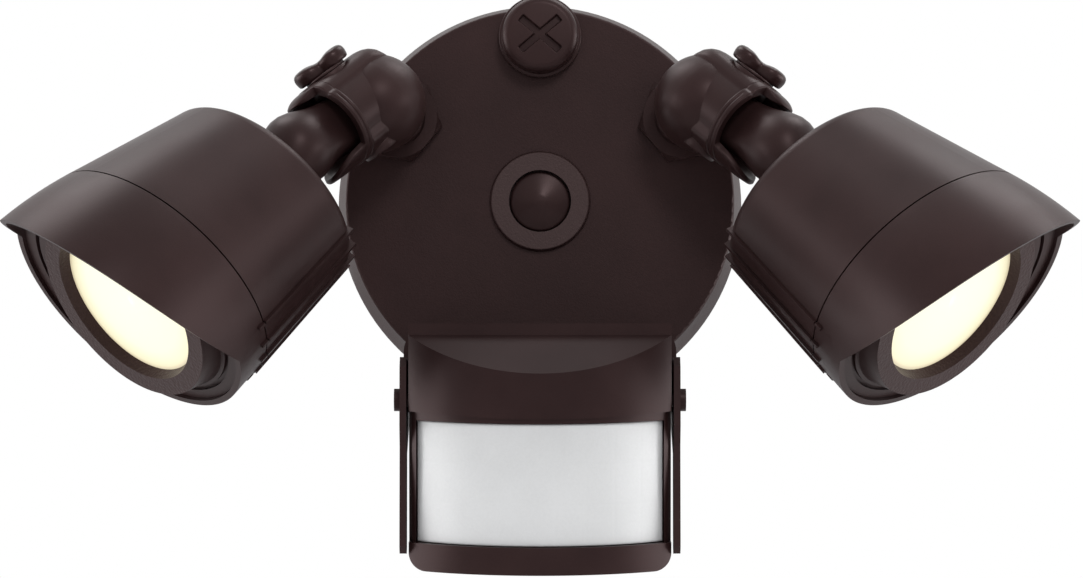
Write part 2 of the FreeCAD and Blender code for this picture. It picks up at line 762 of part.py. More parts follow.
def reflector():
    rear = lens_distance - lens_thickness - lens_gasket_thickness - reflector_length
    length = reflector_length - 0.05
    front_radius = bezel_opening_radius - 0.8
    w = reflector_wall
    profile = [V(reflector_back_radius, 0, rear), V(reflector_back_radius + w, 0, rear),
               V(front_radius + w, 0, rear + length - w), V(board_radius - 0.5, 0, rear + length - w),
               V(board_radius - 0.5, 0, rear + length), V(front_radius, 0, rear + length)]
    return turned(profile)


def led_board():
    front_z = lens_distance - lens_thickness - lens_gasket_thickness - reflector_length
    board = cylinder(board_radius, board_thickness, V(0, 0, front_z - board_thickness))
    for i in range(chip_count):
        a = radians(i * 360.0 / chip_count)
        x = chip_circle_radius * cos(a)
        y = chip_circle_radius * sin(a)
        half = chip_size / 2
        board = board.fuse(box(x - half, x + half, y - half, y + half, front_z - 0.5, front_z + chip_height))
    return board.cut(screw_holes())


def heat_sink():
    back = engine_back() + seat_clearance
    plate = cylinder(sink_radius, sink_thickness - 2 * seat_clearance, V(0, 0, back))
    fins = []
    first = -(sink_fin_count - 1) / 2
    for i in range(sink_fin_count):
        x = (first + i) * sink_fin_pitch
        half = sqrt((sink_radius - 8) ** 2 - min(x * x, 380.0))
        fins.append(box(x - sink_fin_width / 2, x + sink_fin_width / 2, -half, half,
                        back - sink_fin_length, back + 0.5))
    body = fused([plate] + fins)
    body = body.cut(screw_holes())
    for i in range(3):
        a = radians(60 + 120 * i)
        at = V(engine_screw_circle * cos(a), engine_screw_circle * sin(a), back - 40)
        body = body.cut(cylinder(4.4, 40, at))
    return body


def screw_holes():
    holes_here = []
    for i in range(3):
        a = radians(60 + 120 * i)
        at = V(engine_screw_circle * cos(a), engine_screw_circle * sin(a), -30)
        holes_here.append(cylinder(engine_screw_radius + running_gap, 60, at))
    return Part.makeCompound(holes_here)


def engine_screws():
    """Three screws through the light board and the heat sink into the posts."""
    front_z = lens_distance - lens_thickness - lens_gasket_thickness - reflector_length
    screws = []
    for i in range(3):
        a = radians(60 + 120 * i)
        at = V(engine_screw_circle * cos(a), engine_screw_circle * sin(a), 0)
        head = cylinder(engine_screw_head_radius, engine_screw_head_height, at + V(0, 0, front_z))
        shank = cylinder(engine_screw_radius, front_z - engine_back() + 0.2,
                         at + V(0, 0, engine_back() + 0.05))
        screws.append(head.fuse(shank))
    return Part.makeCompound(screws)


def stub_nut():
    """Nut that holds the lamp on its arm, inside the housing."""
    base = V(0, 0, -head_length + rear_wall + 2.2)
    nut = hexagon(stub_nut_flat_radius, stub_nut_height, base, V(0, 0, 1), V(1, 0, 0))
    return nut.cut(cylinder(stub_radius + running_gap, 30, base + V(0, 0, -10)))


# ---------------- sensor ----------------
def sensor_washer():
    ring = cylinder(arm_washer_radius, arm_washer_thickness, sensor_hole, front)
    return ring.cut(cylinder(hole_thread_radius + running_gap, 20, sensor_hole + V(0, 10, 0), front))


def sensor_yoke():
    stem_end = yoke_plate_front + yoke_thickness
    stem = cylinder(hole_thread_radius, face_y + stem_length - stem_end,
                    V(sensor_hole.x, face_y + stem_length, sensor_hole.z), front)
    w = yoke_half_width
    plate = box(-w, w, yoke_plate_front, stem_end, yoke_plate_bottom, yoke_plate_top)
    plate = rounded(plate, yoke_plate_rounding,
                    lambda e: (e.BoundBox.YLength > yoke_thickness * 0.9
                               and e.BoundBox.ZMin > yoke_plate_top - 0.01)
                    and e.BoundBox.XLength < 0.01)
    outline = [V(0, stem_end, yoke_plate_bottom), V(0, stem_end, cheek_top), V(0, cheek_front + 3, cheek_top),
               V(0, cheek_front, cheek_top - 3), V(0, cheek_front, sensor_pivot.z - 8),
               V(0, cheek_tail_front, sensor_pivot.z - 14), V(0, cheek_tail_front, cheek_bottom + 2),
               V(0, cheek_tail_front + 2, cheek_bottom), V(0, cheek_tail_back - 2, cheek_bottom),
               V(0, cheek_tail_back, cheek_bottom + 2), V(0, cheek_tail_back, sensor_pivot.z - 16)]
    parts = [plate, stem]
    for x in (-w, w - yoke_thickness):
        points = [p + V(x, 0, 0) for p in outline]
        parts.append(prism(points, V(yoke_thickness, 0, 0)))
    yoke = fused(parts)
    yoke = yoke.cut(cylinder(stem_bore_radius, 60, V(0, 0, sensor_hole.z), front))
    return yoke.cut(cylinder(pivot_screw_radius + running_gap, 200, V(-100, sensor_pivot.y, sensor_pivot.z),
                             V(1, 0, 0))).removeSplitter()


def plan_face(half_width, side_y, depth, back_y, z):
    """Plan outline of the head: straight back and sides, bowed front."""
    a = V(-half_width, back_y, z)
    b = V(half_width, back_y, z)
    c = V(half_width, -side_y, z)
    d = V(-half_width, -side_y, z)
    m = V(0, -side_y - depth, z)
    edges = [Part.LineSegment(a, b).toShape(), Part.LineSegment(b, c).toShape(),
             Part.Arc(c, m, d).toShape(), Part.LineSegment(d, a).toShape()]
    return Part.Face(Part.Wire(edges))


def plan_block(half_width, side_y, depth, back_y, z0, z1):
    return plan_face(half_width, side_y, depth, back_y, z0).extrude(V(0, 0, z1 - z0))


def sensor_envelope(inset):
    """The whole head, smaller all round by inset."""
    half = sensor_width / 2 - inset
    block = plan_block(half, sensor_side_front - inset, sensor_bow, sensor_back - inset,
                       sensor_bottom + inset, sensor_top - inset)
    brow = sensor_brow - inset
    edge = sensor_side_front + sensor_bow
    slope_end = brow - sensor_slope_drop * (30 + sensor_bow) / sensor_bow
    slope = [V(-60, -sensor_side_front + inset, brow), V(-60, -sensor_side_front + inset, brow + 30),
             V(-60, -edge - 30, brow + 30), V(-60, -edge - 30, slope_end)]
    block = block.cut(prism(slope, V(120, 0, 0)))
    top = sensor_top - inset
    top_back = top - sensor_top_fall
    falling = [V(-60, -sensor_side_front + inset, top), V(-60, -sensor_side_front + inset, top + 30),
               V(-60, sensor_back + 30, top + 30), V(-60, sensor_back, top_back)]
    block = block.cut(prism(falling, V(120, 0, 0)))
    low_back = [V(-60, sensor_back - inset, -6), V(-60, sensor_back + 30, -6),
                V(-60, sensor_back + 30, -80), V(-60, sensor_back_low - inset - 4, -80),
                V(-60, sensor_back_low - inset, sensor_bottom + inset)]
    block = block.cut(prism(low_back, V(120, 0, 0)))
    return block


def corner_cut():
    """What the lower corners lose, seen from the front."""
    half = sensor_width / 2
    r = sensor_corner_radius
    pieces = []
    for sign in (1, -1):
        square = box(min(sign * half, sign * (half - r)) - 0.01, max(sign * half, sign * (half - r)) + 0.01,
                     -60, 60, sensor_bottom - 0.01, sensor_bottom + r)
        pieces.append(square.cut(cylinder(r, 140, V(sign * (half - r), -70, sensor_bottom + r), V(0, 1, 0))))
    return Part.makeCompound(pieces)


def sensor_front():
    """Front half: sloped hood, side posts and bottom lip round the lens."""
    outer = sensor_envelope(0).cut(corner_cut())
    ahead = box(-60, 60, -60, sensor_split, -80, 60)
    shell = outer.common(ahead)
    inner = sensor_envelope(sensor_wall).common(box(-60, 60, -60, sensor_split + cut_over, -80, 60))
    shell = shell.cut(inner)
    half = sensor_width / 2
    recess = outer.cut(plan_block(half - sensor_hood_proud, sensor_side_front - sensor_hood_proud, sensor_bow,
                                  60, -80, 60))
    left = V(-half - 10, -60, sensor_hood_edge)
    middle = V(0, -60, sensor_hood_edge - sensor_hood_dip)
    right = V(half + 10, -60, sensor_hood_edge)
    low_right = V(half + 10, -60, sensor_lens_bottom)
    low_left = V(-half - 10, -60, sensor_lens_bottom)
    front = Part.Wire([Part.Arc(left, middle, right).toShape(),
                       Part.LineSegment(right, low_right).toShape(),
                       Part.LineSegment(low_right, low_left).toShape(),
                       Part.LineSegment(low_left, left).toShape()])
    recess = recess.common(Part.Face(front).extrude(V(0, 60 + sensor_split - 2, 0)))
    shell = shell.cut(recess)
    opening = plan_block(half - sensor_hood_proud - sensor_post_width, sensor_side_front + 40, sensor_bow,
                         -sensor_side_front + 3, sensor_lens_bottom, sensor_lens_top)
    shell = shell.cut(opening)
    for sign in (1, -1):
        x = sign * (sensor_width / 2 - sensor_wall - 3.0)
        boss = cylinder(pivot_boss_radius, 3.4, V(x, 0, 0), V(sign, 0, 0))
        shell = shell.fuse(boss.common(ahead))
    shell = shell.cut(cylinder(pivot_screw_radius + running_gap, 200, V(-100, 0, 0), V(1, 0, 0)))
    return shell.removeSplitter()


def sensor_rear():
    outer = sensor_envelope(0).cut(corner_cut())
    behind_split = box(-60, 60, sensor_split + 0.05, 60, -80, 60)
    shell = outer.common(behind_split)
    inner = sensor_envelope(sensor_wall).common(box(-60, 60, sensor_split - cut_over, 60, -80, 60))
    shell = shell.cut(inner)
    for sign in (1, -1):
        x = sign * (sensor_width / 2 - sensor_wall - 3.0)
        boss = cylinder(pivot_boss_radius, 3.4, V(x, 0, 0), V(sign, 0, 0))
        shell = shell.fuse(boss.common(behind_split))
    shell = shell.cut(cylinder(pivot_screw_radius + running_gap, 200, V(-100, 0, 0), V(1, 0, 0)))
    for x in (-dial_spacing / 2, dial_spacing / 2):
        shell = shell.cut(cylinder(dial_stem_radius + running_gap, 30, V(x, dial_y(), sensor_bottom - 10)))
    return shell.removeSplitter()


def dial_y():
    return sensor_split + sensor_back_low / 2


def sensor_lens():
    half = sensor_width / 2 - sensor_hood_proud - sensor_post_width - sensor_lens_gap
    z0 = sensor_lens_bottom + sensor_lens_gap
    z1 = sensor_lens_top - sensor_lens_gap
    side_y = sensor_side_front - sensor_hood_proud - sensor_lens_inset
    outer = plan_block(half, side_y, sensor_bow, -side_y + 4.0, z0, z1)
    inner = plan_block(half - sensor_lens_thickness, side_y - sensor_lens_thickness, sensor_bow,
                       10, z0 - cut_over, z1 + cut_over)
    return outer.cut(inner)


def pivot_screws():
    screws = []
    for sign in (1, -1):
        x = sign * (yoke_half_width + 0.05)
        head = cylinder(pivot_screw_head_radius, pivot_screw_head_height, V(x, 0, 0), V(sign, 0, 0))
        shank = cylinder(pivot_screw_radius, 8.0, V(x, 0, 0), V(-sign, 0, 0))
        slot_x = sign * (yoke_half_width + 0.05 + pivot_screw_head_height)
        slot = box(slot_x - 0.8, slot_x + 0.8, -0.5, 0.5, -2.6, 2.6)
        screws.append(head.fuse(shank).cut(slot))
    return Part.makeCompound(screws)


def sensor_board_half():
    return sensor_width / 2 - sensor_wall - 4.0


def sensor_board():
    half = sensor_board_half()
    y = -sensor_side_front + sensor_board_gap
    board = box(-half, half, y, y + sensor_board_thickness, sensor_lens_bottom + 2, sensor_lens_top + 14)
    for sign in (1, -1):
        x = sign * (half + 0.5)
        board = board.cut(cylinder(pivot_boss_radius + 1.5, 8, V(x - 4, 0, 0), V(1, 0, 0)))
    return board


def pyro_sensor():
    y = -sensor_side_front + sensor_board_gap - 0.02
    z = (sensor_lens_top + sensor_lens_bottom) / 2
    can = cylinder(pyro_radius, pyro_height, V(0, y, z), front)
    rim = cylinder(pyro_radius + 0.7, 0.8, V(0, y, z), front)
    return can.fuse(rim).removeSplitter()


def photocell():
    y = -sensor_side_front + sensor_board_gap - 0.02
    x = sensor_board_half() - photocell_inset
    return cylinder(photocell_radius, photocell_height, V(x, y, sensor_lens_bottom + 8), front)


def control_dial(x):
    """Knurled setting dial under the head with a pointer slot."""
    z = sensor_bottom - 0.1
    body = cylinder(dial_radius, dial_height, V(x, dial_y(), z), V(0, 0, -1))
    teeth = 16
    for i in range(teeth):
        a = 2 * pi * i / teeth
        groove_axis = V(x + (dial_radius + 0.1) * cos(a), dial_y() + (dial_radius + 0.1) * sin(a), z - 0.8)
        groove = cylinder(0.5, dial_height - 0.8, groove_axis, V(0, 0, -1))
        body = body.cut(groove)
    slot = box(x - 3.2, x + 3.2, dial_y() - 0.5, dial_y() + 0.5, z - dial_height - 1, z - dial_height + 1)
    stem = cylinder(dial_stem_radius, 5.0, V(x, dial_y(), z), V(0, 0, 1))
    return body.cut(slot).fuse(stem).removeSplitter()


# ---------------- everything in its place ----------------
def in_head(shape):
    return placed(shape, head_frame)


def in_sensor(shape):
    return placed(shape, sensor_frame)


nodes = {
    "canopy_cover": canopy_cover(),
    "wall_gasket": wall_gasket(),
    "mounting_bar": mounting_bar(),
    "ground_screw": ground_screw(),
    "centre_screw": centre_screw(),
    "centre_cap": centre_cap(),
    "plug_washer": plug_washer(),
    "closure_plug": closure_plug(),
    "sensor_washer": sensor_washer(),
    "sensor_locknut": locknut(sensor_hole, arm_washer_thickness, -yoke_plate_front - yoke_thickness + face_y
                              - arm_washer_thickness),
    "sensor_yoke": sensor_yoke(),
    "sensor_front_housing": in_sensor(sensor_front()),
    "sensor_rear_housing": in_sensor(sensor_rear()),
    "sensor_lens": in_sensor(sensor_lens()),
    "sensor_pivot_screws": in_sensor(pivot_screws()),
    "sensor_board": in_sensor(sensor_board()),
    "pyro_sensor": in_sensor(pyro_sensor()),
    "photocell": in_sensor(photocell()),
    "time_dial": in_sensor(control_dial(-dial_spacing / 2)),
    "range_dial": in_sensor(control_dial(dial_spacing / 2)),
}

arm_pieces = {
    "arm_washer": arm_washer(),
    "arm_locknut": locknut(arm_hole, arm_washer_thickness, locknut_height),
    "elbow": elbow(),
    "clamp_nut": clamp_nut(),
    "wing_knob": wing_knob(),
    "clamp_screw": clamp_screw(),
    "lamp_arm": lamp_arm(),
    "lamp_housing": in_head(lamp_housing()),
    "stub_nut": in_head(stub_nut()),
    "lamp_hood": in_head(lamp_hood()),
    "lamp_bezel": in_head(lamp_bezel()),
    "lamp_lens": in_head(lamp_lens()),
    "lens_gasket": in_head(lens_gasket()),
    "reflector": in_head(reflector()),
    "led_board": in_head(led_board()),
    "heat_sink": in_head(heat_sink()),
    "engine_screws": in_head(engine_screws()),
}
for side, sign in sides.items():
    for name, shape in arm_pieces.items():
        piece = shape if sign > 0 else shape.mirror(V(0, 0, 0), V(1, 0, 0))
        nodes[side + "_" + name] = piece

for name, shape in nodes.items():
    solids = shape.Solids
    if not solids or not shape.isValid():
        print("check", name, len(solids), shape.isValid())
    out = solids[0] if len(solids) == 1 else Part.makeCompound(solids)
    out.exportStep("parts/" + name + ".step")
    print(name, len(solids), round(shape.Volume, 1))
print("nodes", len(nodes))
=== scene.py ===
import bpy
import math
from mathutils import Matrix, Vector


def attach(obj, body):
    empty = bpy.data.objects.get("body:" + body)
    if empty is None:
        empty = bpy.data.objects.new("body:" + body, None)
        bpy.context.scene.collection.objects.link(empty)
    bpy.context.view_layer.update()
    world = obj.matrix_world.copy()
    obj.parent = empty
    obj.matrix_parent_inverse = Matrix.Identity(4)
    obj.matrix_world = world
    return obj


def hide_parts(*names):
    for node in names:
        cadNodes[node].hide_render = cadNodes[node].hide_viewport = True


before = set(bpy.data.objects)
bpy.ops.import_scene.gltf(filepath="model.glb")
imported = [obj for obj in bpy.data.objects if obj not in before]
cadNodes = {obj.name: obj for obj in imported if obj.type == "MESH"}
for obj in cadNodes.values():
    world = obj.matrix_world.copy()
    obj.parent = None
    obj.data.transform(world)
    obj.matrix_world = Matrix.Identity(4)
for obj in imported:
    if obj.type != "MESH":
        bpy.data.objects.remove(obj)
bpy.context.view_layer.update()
print("frame loaded:", len(cadNodes), "nodes")

# sizes of the pieces below are in mm, and become metres where points are made
mm = 0.001
roomward = Vector((0, -1, 0))      # out of the wall

# node helpers


def newMaterial(name):
    material = bpy.data.materials.new(name)
    material.use_nodes = True
    tree = material.node_tree
    return material, tree, tree.nodes["Principled BSDF"]


def addNode(tree, kind, **settings):
    node = tree.nodes.new(kind)
    for key, value in settings.items():
        if key in node.inputs:
            node.inputs[key].default_value = value
        else:
            setattr(node, key, value)
    return node


def objectCoords(tree):
    return addNode(tree, "ShaderNodeTexCoord").outputs["Object"]


def noise(tree, coords, scale, detail, roughness=0.5):
    node = addNode(tree, "ShaderNodeTexNoise", Scale=scale, Detail=detail, Roughness=roughness)
    tree.links.new(coords, node.inputs["Vector"])
    return node.outputs["Fac"]


def ramp(tree, source, stops):
    node = addNode(tree, "ShaderNodeValToRGB")
    elements = node.color_ramp.elements
    while len(elements) < len(stops):
        elements.new(0.5)
    for element, (place, colour) in zip(elements, stops):
        element.position = place
        element.color = (*colour, 1.0)
    tree.links.new(source, node.inputs["Fac"])
    return node.outputs["Color"]


def rangeOf(tree, source, low, high, fromLow, fromHigh):
    node = addNode(tree, "ShaderNodeMapRange")
    node.inputs["From Min"].default_value = fromLow
    node.inputs["From Max"].default_value = fromHigh
    node.inputs["To Min"].default_value = low
    node.inputs["To Max"].default_value = high
    tree.links.new(source, node.inputs["Value"])
    return node.outputs["Result"]


def mathOf(tree, operation, first, second):
    node = addNode(tree, "ShaderNodeMath", operation=operation)
    for socket, value in zip(node.inputs, (first, second)):
        if isinstance(value, (int, float)):
            socket.default_value = value
        else:
            tree.links.new(value, socket)
    return node.outputs[0]


def fromAxis(tree, coords, centre, axis):
    # distance of a point from a line, in metres
    shift = addNode(tree, "ShaderNodeVectorMath", operation="SUBTRACT")
    tree.links.new(coords, shift.inputs[0])
    shift.inputs[1].default_value = centre
    cross = addNode(tree, "ShaderNodeVectorMath", operation="CROSS_PRODUCT")
    tree.links.new(shift.outputs[0], cross.inputs[0])
    cross.inputs[1].default_value = axis
    length = addNode(tree, "ShaderNodeVectorMath", operation="LENGTH")
    tree.links.new(cross.outputs[0], length.inputs[0])
    return length.outputs["Value"]


coat = {
    "cloudScale": 38.0,        # clouds per metre
    "cloudLow": 0.3, "cloudHigh": 0.7,      # where the two ends of the gloss are reached
    "detail": 3.0,
    "grainRoughness": 0.6,
    "grainShare": 0.45,        # of the grain in the colour
    "darkAt": 0.55, "lightAt": 0.95,
    "pebbleFade": 0.2 * mm,    # at the edge of a pebbled place
}


def coated(name, dark, light, gloss, grain, depth, metallic=0.0, specular=0.5, pebblesAndSheen=None, tint=None):
    # clouded colour, a gloss that drifts, and a fine grain in the surface;
    # pebbles are a coarser grain near a line, painted paler there as painted sheen for the light their
    # crowns catch
    material, tree, shader = newMaterial(name)
    coords = objectCoords(tree)
    cloud = noise(tree, coords, coat["cloudScale"], coat["detail"])
    fine = noise(tree, coords, grain, coat["detail"], coat["grainRoughness"])
    tone = mathOf(tree, "ADD", mathOf(tree, "MULTIPLY", fine, coat["grainShare"]), cloud)
    colour = ramp(tree, tone, [(coat["darkAt"], dark), (coat["lightAt"], light)])
    roughness = rangeOf(tree, cloud, gloss[0], gloss[1], coat["cloudLow"], coat["cloudHigh"])
    tree.links.new(roughness, shader.inputs["Roughness"])
    shader.inputs["Metallic"].default_value = metallic
    shader.inputs["Specular IOR Level"].default_value = specular
    if tint:
        shader.inputs["Specular Tint"].default_value = (*tint, 1.0)
    height = mathOf(tree, "MULTIPLY", fine, depth)
    if pebblesAndSheen:
        cells = addNode(tree, "ShaderNodeTexVoronoi", Scale=pebblesAndSheen["scale"])
        cells.feature = "SMOOTH_F1"
        tree.links.new(coords, cells.inputs["Vector"])
        away = fromAxis(tree, coords, pebblesAndSheen["centre"], pebblesAndSheen["axis"])
        inside = rangeOf(tree, away, 1.0, 0.0, pebblesAndSheen["reach"] - coat["pebbleFade"], pebblesAndSheen["reach"])
        coarse = mathOf(tree, "MULTIPLY", cells.outputs["Distance"], inside)
        height = mathOf(tree, "ADD", height, mathOf(tree, "MULTIPLY", coarse, pebblesAndSheen["depth"]))
        # painted sheen: the pebbled place is painted paler, as if its crowns caught more light
        paintedSheenMix = addNode(tree, "ShaderNodeMix", data_type="RGBA")
        tree.links.new(mathOf(tree, "MULTIPLY", inside, pebblesAndSheen["share"]), paintedSheenMix.inputs["Factor"])
        tree.links.new(colour, paintedSheenMix.inputs[6])      # its two colours are sockets 6 and 7
        paintedSheenMix.inputs[7].default_value = (*pebblesAndSheen["colour"], 1.0)
        colour = paintedSheenMix.outputs[2]
    tree.links.new(colour, shader.inputs["Base Color"])
    bump = addNode(tree, "ShaderNodeBump", Strength=1.0, Distance=1.0)      # heights are in metres
    tree.links.new(height, bump.inputs["Height"])
    tree.links.new(bump.outputs["Normal"], shader.inputs["Normal"])
    return material


# where the right arm and lamp stand, as in the solids

armLine = {
    "ball": Vector((49.0, -38.0, 28.0)) * mm,
    "yaw": 50.8,
    "pitch": 35.8,
    "screwRoll": 14.5,     # of the clamp screw, from upright
    "lampAxis": 0.8,       # of the lamp, along the clamp screw from the arm's line
    "lampSeam": 99.0,      # from the ball's centre
}
yaw, pitch = math.radians(armLine["yaw"]), math.radians(armLine["pitch"])
roll = math.radians(armLine["screwRoll"])
alongArm = Vector((math.sin(yaw) * math.cos(pitch), -math.cos(yaw) * math.cos(pitch), -math.sin(pitch)))
upFromArm = (Vector((0, 0, 1)) - alongArm * alongArm.z).normalized()
outFromArm = upFromArm.cross(alongArm)
screwLine = upFromArm * math.cos(roll) + outFromArm * math.sin(roll)
nearSide = alongArm.cross(screwLine)
headCentre = armLine["ball"] + screwLine * armLine["lampAxis"] * mm + alongArm * armLine["lampSeam"] * mm


def armPoint(along, up, near):
    # from the ball's centre: along the arm, along the clamp screw, toward the room
    return armLine["ball"] + (alongArm * along + screwLine * up + nearSide * near) * mm


def mirrored(v):
    return Vector((-v.x, v.y, v.z))


# mesh helpers


def addPiece(name, part, material, body, nodes):
    points, faces = part
    mesh = bpy.data.meshes.new(name)
    mesh.from_pydata([tuple(p) for p in points], [], faces)
    mesh.validate()
    mesh.materials.append(material)
    for polygon in mesh.polygons:
        polygon.use_smooth = True
    piece = bpy.data.objects.new(name, mesh)
    bpy.context.scene.collection.objects.link(piece)
    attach(piece, body)
    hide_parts(*nodes)


def addPair(name, part, material, body, node):
    # the right piece, and its mirror image on the left
    for side, shape in (("right", part), ("left", flipped(part))):
        addPiece(name + "." + side, shape, material, side + "_" + body, [side + "_" + node])


def loft(rings):
    # faces between rings of equal length, with a fan at each end
    count = len(rings[0])
    points = [p for ring in rings for p in ring]
    faces = []
    for i in range(len(rings) - 1):
        for j in range(count):
            k = (j + 1) % count
            faces.append((i * count + j, i * count + k, (i + 1) * count + k, (i + 1) * count + j))
    for first, flip in ((0, True), ((len(rings) - 1) * count, False)):
        middle = sum((Vector(points[first + j]) for j in range(count)), Vector()) / count
        points.append(middle)
        for j in range(count):
            a, b = first + j, first + (j + 1) % count
            faces.append((b, a, len(points) - 1) if flip else (a, b, len(points) - 1))
    return points, faces


def joined(*parts):
    points, faces = [], []
    for more, moreFaces in parts:
        start = len(points)
        points += list(more)
        faces += [tuple(i + start for i in face) for face in moreFaces]
    return points, faces


def flipped(part):
    points, faces = part
    return [mirrored(Vector(p)) for p in points], [tuple(reversed(face)) for face in faces]


def circleRing(centre, across, upward, radius, count):
    ring = []
    for j in range(count):
        a = 2 * math.pi * j / count
        ring.append(centre + across * radius * math.cos(a) + upward * radius * math.sin(a))
    return ring


def turnedPart(centre, axis, profile, count):
    # profile: (radius, distance along the axis)
    across = axis.orthogonal().normalized()
    upward = axis.cross(across)
    rings = [circleRing(centre + axis * along * mm, across, upward, max(radius, 0.001) * mm, count)
             for radius, along in profile]
    return loft(rings)


def threadProfile(radius, depth, pitch, start, end):
    # a crest and a root for each pitch
    profile = []
    place = start
    while place < end:
        profile += [(radius, place), (radius - depth, place + pitch / 2)]
        place += pitch
    return profile


def smoothStep(low, high, value):
    t = min(max((value - low) / (high - low), 0.0), 1.0)
    return t * t * (3 - 2 * t)


def halfRound(offset, reach):
    # 1 in the middle, and down to 0 at the reach as a half circle falls
    return math.sqrt(max(1 - (offset / reach) ** 2, 0))


# finishes

bronze = {
    "dark": (0.016, 0.0072, 0.0070),
    "light": (0.025, 0.0122, 0.0118),
    "paintedSheen": (0.060, 0.040, 0.039),      # painted sheen: the paler colour painted on pebbled places
    "sheen": 0.22,         # specular level
    "tint": (1.0, 0.74, 0.74),
    "gloss": (0.36, 0.44),
    "grain": 2400.0,       # grains per metre
    "depth": 0.00002,
}


def bronzeCoat(name, gloss, grain=bronze["grain"], depth=bronze["depth"], pebblesAndSheen=None):
    return coated(name, bronze["dark"], bronze["light"], gloss, grain, depth,
                  specular=bronze["sheen"], tint=bronze["tint"], pebblesAndSheen=pebblesAndSheen)


# the boss's pebbles, painted paler there as painted sheen
bossPebblesAndSheen = {"centre": Vector((0, 0, 0)), "axis": Vector((0, 1, 0)), "reach": 15.1 * mm,
               "scale": 1500.0, "depth": 0.00006, "colour": bronze["paintedSheen"], "share": 0.8}
bronzeSatin = bronzeCoat("bronzeSatin", bronze["gloss"])
bronzeCanopy = bronzeCoat("bronzeCanopy", (0.42, 0.50), 1900.0, 0.00005, bossPebblesAndSheen)
bronzePlastic = bronzeCoat("bronzePlastic", (0.28, 0.35), 3000.0, 0.00001)
# dark colour, light colour, gloss, grains per metre, depth of the grain
zincPlate = coated("zincPlate", (0.50, 0.49, 0.46), (0.68, 0.67, 0.64), (0.28, 0.42),
                   900.0, 0.00001, metallic=1.0)
greenPaint = coated("greenPaint", (0.02, 0.16, 0.05), (0.03, 0.24, 0.08), (0.35, 0.5), 900.0, 0.00001)
foam = coated("foam", (0.010, 0.010, 0.010), (0.022, 0.022, 0.022), (0.85, 0.95), 1400.0, 0.0001)
rubber = coated("rubber", (0.012, 0.012, 0.012), (0.020, 0.020, 0.020), (0.6, 0.7), 1400.0, 0.00003)
paleBoard = coated("paleBoard", (0.70, 0.70, 0.66), (0.82, 0.82, 0.79), (0.35, 0.5), 900.0, 0.00001)
greenBoard = coated("greenBoard", (0.01, 0.12, 0.04), (0.02, 0.20, 0.07), (0.3, 0.4), 900.0, 0.00001)
castMetal = coated("castMetal", (0.42, 0.42, 0.42), (0.56, 0.56, 0.57), (0.4, 0.55),
                   700.0, 0.00004, metallic=1.0)
whiteReflector = coated("whiteReflector", (0.78, 0.78, 0.76), (0.86, 0.86, 0.84), (0.2, 0.3),
                        900.0, 0.00001)
canMetal = coated("canMetal", (0.55, 0.53, 0.48), (0.70, 0.68, 0.62), (0.2, 0.35),
                  900.0, 0.00001, metallic=1.0)
sensorWhite = coated("sensorWhite", (0.65, 0.65, 0.65), (0.71, 0.71, 0.71), (0.34, 0.42),
                     1200.0, 0.00001)

lampGlow = {
    "reach": 26 * mm,      # the glow's colours run from the lens's axis to here
    "colours": [(0.0, (1.0, 0.99, 0.80)), (0.70, (1.0, 0.98, 0.74)), (0.90, (0.98, 0.90, 0.60)),
                (0.97, (0.55, 0.44, 0.28))],
    "base": (0.26, 0.25, 0.20, 1.0),
    "strength": 0.80,
    "gloss": 0.35,
    "cloud": 0.4 * mm,     # how far the colours' edges wander
}


def litLens(name, centre, axis):
    # glows evenly, and warmer and dimmer toward its edge
    material, tree, shader = newMaterial(name)
    coords = objectCoords(tree)
    away = fromAxis(tree, coords, centre, axis)
    cloud = mathOf(tree, "MULTIPLY", noise(tree, coords, 60.0, 2.0), lampGlow["cloud"])
    place = rangeOf(tree, mathOf(tree, "ADD", away, cloud), 0.0, 1.0, 0.0, lampGlow["reach"])
    tree.links.new(ramp(tree, place, lampGlow["colours"]), shader.inputs["Emission Color"])
    shader.inputs["Base Color"].default_value = lampGlow["base"]
    shader.inputs["Emission Strength"].default_value = lampGlow["strength"]
    shader.inputs["Roughness"].default_value = lampGlow["gloss"]
    return material


bezelFinish, lensFinish = {}, {}
for side, turn in (("right", lambda v: v), ("left", mirrored)):
    # the bezel's pebbled band, painted a little paler as painted sheen
    bezelPebblesAndSheen = {"centre": turn(headCentre), "axis": turn(alongArm), "reach": 31.3 * mm,
                   "scale": 1300.0, "depth": 0.00015, "colour": bronze["paintedSheen"], "share": 0.3}
    bezelFinish[side] = bronzeCoat("bronzeBezel." + side, (0.40, 0.48), pebblesAndSheen=bezelPebblesAndSheen)
    lensFinish[side] = litLens("warmLens." + side, turn(headCentre), turn(alongArm))

finishes = {
    "canopy_cover": bronzeCanopy, "wall_gasket": foam, "mounting_bar": zincPlate,
    "ground_screw": greenPaint, "centre_screw": zincPlate, "centre_cap": bronzePlastic,
    "plug_washer": rubber, "closure_plug": bronzeSatin, "sensor_washer": rubber,
    "sensor_locknut": bronzeSatin, "sensor_yoke": bronzeSatin,
    "sensor_front_housing": bronzePlastic, "sensor_rear_housing": bronzePlastic,
    "sensor_lens": sensorWhite, "sensor_pivot_screws": bronzeSatin,
    "sensor_board": greenBoard, "pyro_sensor": canMetal, "photocell": canMetal,
    "time_dial": bronzePlastic, "range_dial": bronzePlastic,
    "arm_washer": rubber, "arm_locknut": bronzeSatin, "elbow": bronzeSatin,
    "clamp_nut": zincPlate, "clamp_screw": zincPlate, "wing_knob": bronzePlastic,
    "lamp_arm": bronzeSatin, "lamp_housing": bronzeSatin, "stub_nut": zincPlate,
    "lamp_hood": bronzeSatin, "lens_gasket": rubber, "reflector": whiteReflector,
    "led_board": paleBoard, "heat_sink": castMetal, "engine_screws": zincPlate,
}
